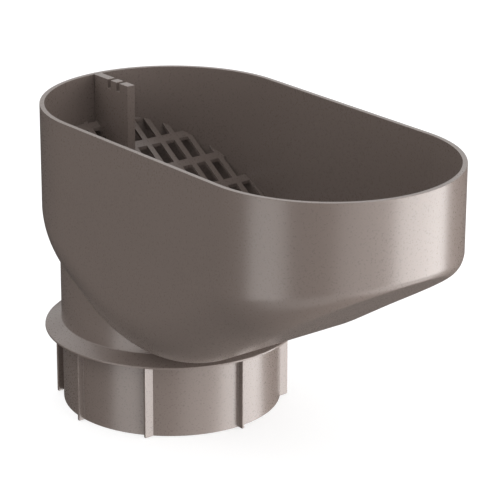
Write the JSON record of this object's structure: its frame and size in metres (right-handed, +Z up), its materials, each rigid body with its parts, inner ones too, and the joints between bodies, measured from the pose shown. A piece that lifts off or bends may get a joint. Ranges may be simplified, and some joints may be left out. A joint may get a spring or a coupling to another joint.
{
  "type": "rainwater drain trap",
  "caption": "Offset oval hopper that takes a rainwater downpipe, strains leaves on a lift-out sloping grate and drains through a round spigot with a collar.",
  "frame": {"origin": "on the spigot's axis, at the spigot's open lower end, which stands on the ground plane", "axes": "+Z up along the spigot's axis, +X from the downpipe inlet to the front of the hopper, where leaves are taken out"},
  "size_m": [0.2316, 0.1204, 0.1462],
  "materials": {
    "body_plastic": "satin taupe plastic with a fine metallic fleck",
    "grate_plastic": "satin taupe plastic with a fine metallic fleck"
  },
  "bodies": {
    "root": {"hopper_body": "body_plastic", "leaf_grate": "grate_plastic"}
  },
  "joints": []
}
